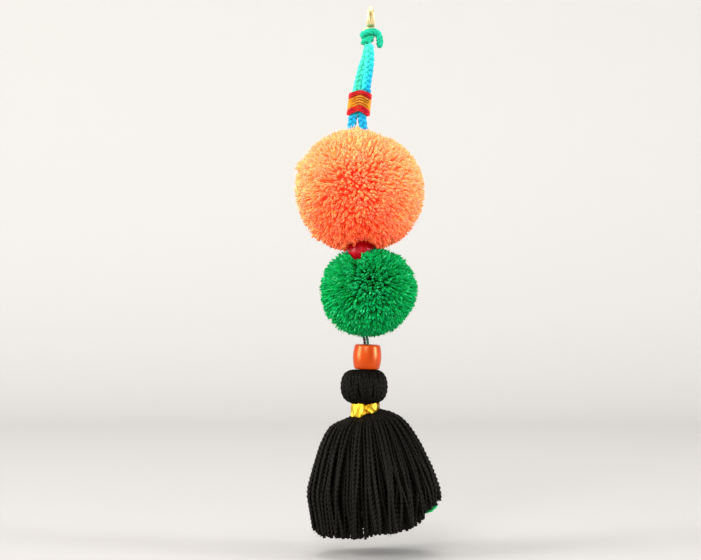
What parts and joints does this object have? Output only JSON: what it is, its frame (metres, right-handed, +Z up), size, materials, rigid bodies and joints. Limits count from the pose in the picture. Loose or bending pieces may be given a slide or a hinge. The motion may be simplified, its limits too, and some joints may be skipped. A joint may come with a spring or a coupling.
{
  "type": "yarn pom pom bag charm with snap clasp",
  "caption": "Hanging charm of yarn pompoms strung on braided cords with a thread band, round beads and a foil-bound yarn tassel under a small metal clasp",
  "frame": {"origin": "under the bow of the clasp, at the point that the charm hangs from", "axes": "Z up, X to the right as seen in the picture, Y away from the viewer"},
  "size_m": [0.0753, 0.0662, 0.2773],
  "materials": {
    "clasp_metal": "pale gold plating, polished",
    "mint_cord": "soft twisted acrylic cord, mint green",
    "blue_cord": "braided acrylic cord, turquoise to sky blue",
    "red_thread": "wrapped embroidery thread, crimson",
    "yellow_thread": "wrapped embroidery thread, orange yellow",
    "orange_yarn": "cut acrylic yarn, bright orange",
    "green_yarn": "cut acrylic yarn, leaf green",
    "black_yarn": "two-ply acrylic yarn, black",
    "red_bead": "lacquered wooden bead, crimson, glossy",
    "orange_bead": "lacquered wooden bead, orange, glossy",
    "gold_foil": "gold foil strip, creased, bright"
  },
  "bodies": {
    "root": {"clasp_body": "clasp_metal", "clasp_lever": "clasp_metal", "knot": "mint_cord", "cord_left": "blue_cord", "cord_right": "blue_cord", "band_upper": "red_thread", "band_middle": "yellow_thread", "band_lower": "red_thread", "pompom_upper": "orange_yarn", "bead_red": "red_bead", "pompom_lower": "green_yarn", "cord_black": "black_yarn", "cord_green": "green_yarn", "bead_orange": "orange_bead", "tassel": "black_yarn", "yarn_green": "green_yarn", "wrap_gold": "gold_foil"}
  },
  "joints": []
}
